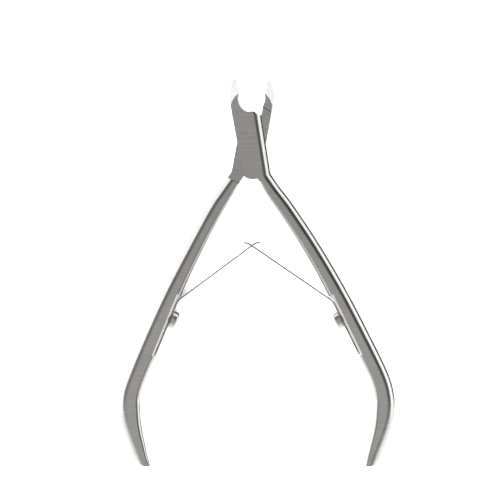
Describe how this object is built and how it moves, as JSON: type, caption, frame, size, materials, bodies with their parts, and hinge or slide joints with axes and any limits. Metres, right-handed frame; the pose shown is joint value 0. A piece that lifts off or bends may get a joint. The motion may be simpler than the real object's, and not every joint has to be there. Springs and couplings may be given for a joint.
{
  "type": "cuticle nipper",
  "caption": "Open cuticle nipper with pointed ground jaws, a flush riveted lap joint, curved handles and crossed leaf springs screwed to their inner sides.",
  "frame": {"origin": "on the pivot's axis, at the flush back face of the rivet", "axes": "+Z along the pivot from the back to the front, +Y towards the jaws, +X to the right seen from the front"},
  "size_m": [0.0771, 0.1095, 0.0064],
  "materials": {
    "forged_steel": "satin brushed stainless steel, ground brighter at the jaws",
    "rivet_steel": "ground flush, fine scratches",
    "spring_steel": "rolled spring strip, smooth satin",
    "screw_steel": "turned and lightly polished"
  },
  "bodies": {
    "front_half": {"front_lever": "forged_steel", "pivot_rivet": "rivet_steel", "forked_spring_screw": "screw_steel"},
    "back_half": {"back_lever": "forged_steel", "tongue_spring_screw": "screw_steel"},
    "forked_leaf": {"forked_spring": "spring_steel"},
    "tongue_leaf": {"tongue_spring": "spring_steel"}
  },
  "joints": [
    {"name": "lever_pivot", "type": "hinge", "parent": "front_half", "child": "back_half", "pos_m": [0, 0, 0.0032], "axis": [0, 0, 1], "range_deg": [0, 25.8], "stiffness_Nm_per_rad": 0.8},
    {"name": "forked_spring_flex", "type": "hinge", "parent": "front_half", "child": "forked_leaf", "pos_m": [0.0226, -0.0431, 0.0032], "axis": [0, 0, 1], "range_deg": [-17.6, 0], "deforming": ["forked_spring"]},
    {"name": "tongue_spring_flex", "type": "hinge", "parent": "back_half", "child": "tongue_leaf", "pos_m": [-0.0207, -0.0434, 0.0032], "axis": [0, 0, 1], "range_deg": [0, 17.6], "deforming": ["tongue_spring"]}
  ],
  "couplings": [
    {"joint": "forked_spring_flex", "follows": "lever_pivot", "ratio": -0.68},
    {"joint": "tongue_spring_flex", "follows": "lever_pivot", "ratio": 0.68}
  ]
}
